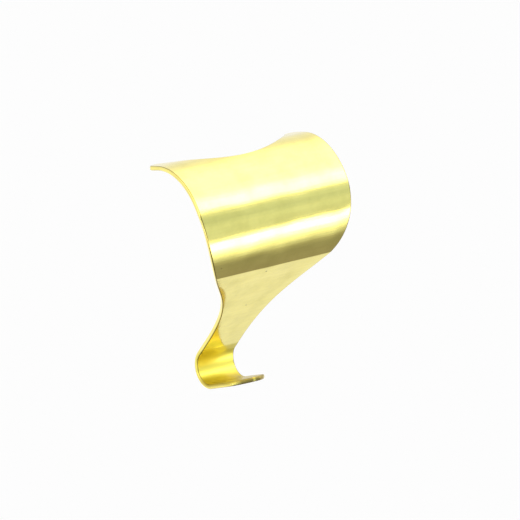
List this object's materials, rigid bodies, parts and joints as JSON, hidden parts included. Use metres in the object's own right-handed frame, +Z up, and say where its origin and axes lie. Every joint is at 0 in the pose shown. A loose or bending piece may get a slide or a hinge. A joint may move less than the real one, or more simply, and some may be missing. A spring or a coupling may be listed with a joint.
{
  "type": "picture rail hook",
  "caption": "Bent sheet-brass picture rail hook: a rounded hood sits over the moulding, a flat panel tapers to a stem, and an upturned tongue carries the cord.",
  "frame": {"origin": "on the hood's axis, midway across the hook, where the middle of the rail's nose lies", "axes": "+X across the hook along the rail, +Y towards the wall, -Y towards the room, +Z up as hung"},
  "size_m": [0.04, 0.026, 0.0567],
  "materials": {
    "brass": "bright polished sheet with faint rolling grain"
  },
  "bodies": {
    "root": {"hook": "brass"}
  },
  "joints": []
}
